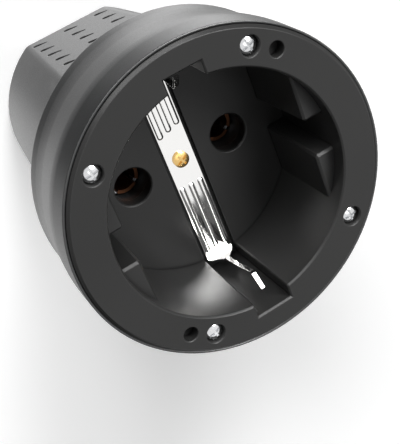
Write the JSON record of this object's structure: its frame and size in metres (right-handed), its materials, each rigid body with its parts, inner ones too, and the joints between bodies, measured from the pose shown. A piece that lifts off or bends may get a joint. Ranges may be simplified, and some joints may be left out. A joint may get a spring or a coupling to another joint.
{
  "type": "earthed rubber cable coupler socket",
  "caption": "Black rubber cable coupler with a round recessed earthed socket, side earth contacts and a flat-sided tapered grip with a cable inlet at its end.",
  "frame": {"origin": "centre of the flat end of the neck, which the coupler stands on", "axes": "+Z along the coupler from the cable inlet out of the socket's mouth, X through the two pin holes, Y along the earth clip; the two grip flats face +Y and -Y"},
  "size_m": [0.0542, 0.0542, 0.06],
  "materials": {
    "rubber_black": "soft black moulded rubber, satin, faint mould grain",
    "insert_black": "matt black moulded plastic with fine grain",
    "carrier_black": "plain black moulded plastic",
    "nickel_strip": "bright nickelled strip",
    "screw_bright": "bright zinc-plated steel screws",
    "brass_screw": "yellow brass screw",
    "brass_plain": "machined brass",
    "copper_contact": "copper-coloured contact metal",
    "spring_steel": "plain spring steel"
  },
  "bodies": {
    "root": {"rubber_housing": "rubber_black", "socket_insert": "insert_black", "earth_clip": "nickel_strip", "earth_clip_screw": "brass_screw", "earth_terminal": "brass_plain", "earth_terminal_screw": "screw_bright", "line_contact_left": "copper_contact", "line_contact_right": "copper_contact", "contact_spring_left": "spring_steel", "contact_spring_right": "spring_steel", "line_terminal_screw_left": "screw_bright", "line_terminal_screw_right": "screw_bright", "contact_carrier": "carrier_black", "carrier_screw_1": "screw_bright", "carrier_screw_2": "screw_bright", "face_screw_1": "screw_bright", "face_screw_2": "screw_bright", "face_screw_3": "screw_bright", "face_screw_4": "screw_bright", "face_screw_bush_1": "brass_plain", "face_screw_bush_2": "brass_plain", "face_screw_bush_3": "brass_plain", "face_screw_bush_4": "brass_plain", "cord_clamp_bar": "carrier_black", "cord_clamp_screw_left": "screw_bright", "cord_clamp_screw_right": "screw_bright"}
  },
  "joints": []
}
